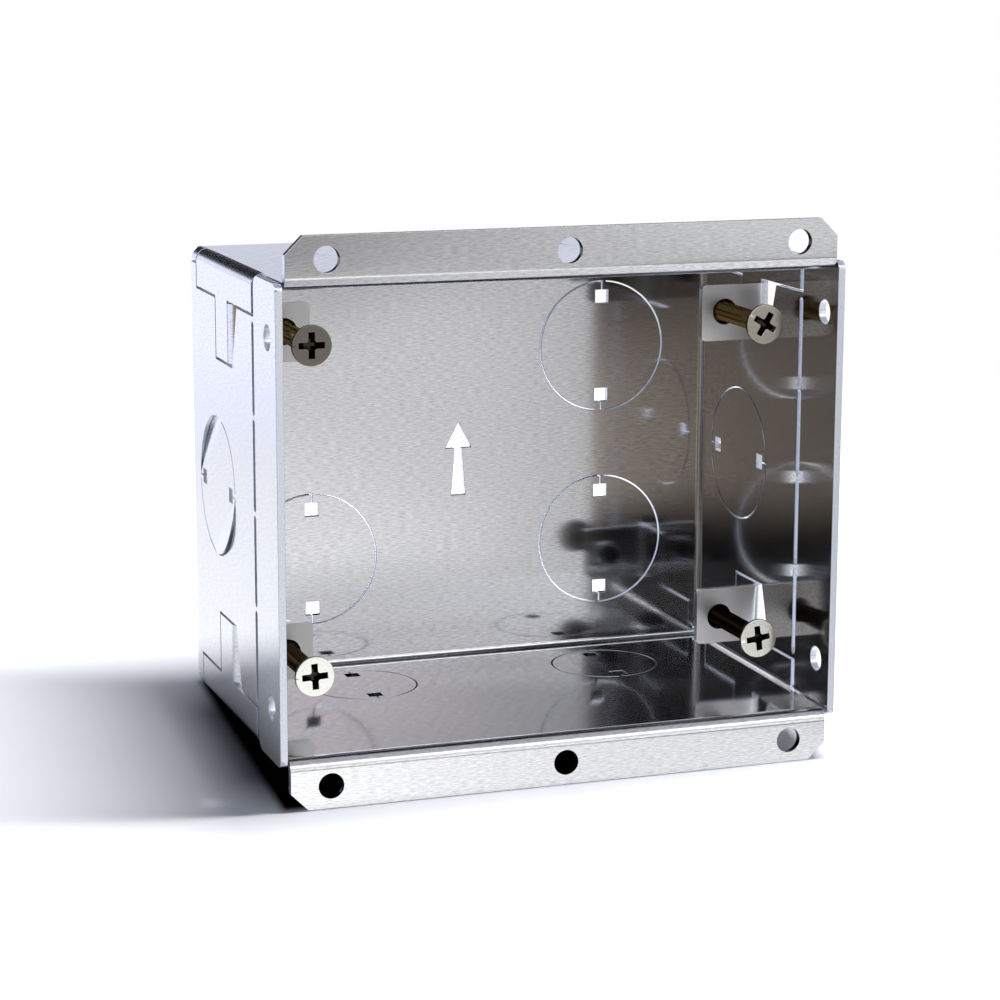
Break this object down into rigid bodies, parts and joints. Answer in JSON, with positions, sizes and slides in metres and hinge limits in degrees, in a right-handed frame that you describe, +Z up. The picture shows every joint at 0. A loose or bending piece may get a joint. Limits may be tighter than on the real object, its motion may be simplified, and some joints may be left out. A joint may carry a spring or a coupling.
{
  "type": "flush mounting box",
  "caption": "Flush mounting box folded from sheet steel, open at the front, with fixing flanges, round knockouts, slotted fold lines and cover screws in drawn tabs.",
  "frame": {"origin": "middle of the four corner holes of the flanges, on the flanges' front face", "axes": "+Z up as the arrow in the back shows, +X to the right seen from the open front, +Y from the opening towards the back"},
  "size_m": [0.1167, 0.068, 0.11],
  "materials": {
    "sheet": "brushed",
    "screw": "nickel plated, satin"
  },
  "bodies": {
    "root": {"box": "sheet", "screw_upper_left": "screw", "screw_lower_left": "screw", "screw_upper_right": "screw", "screw_lower_right": "screw"}
  },
  "joints": []
}
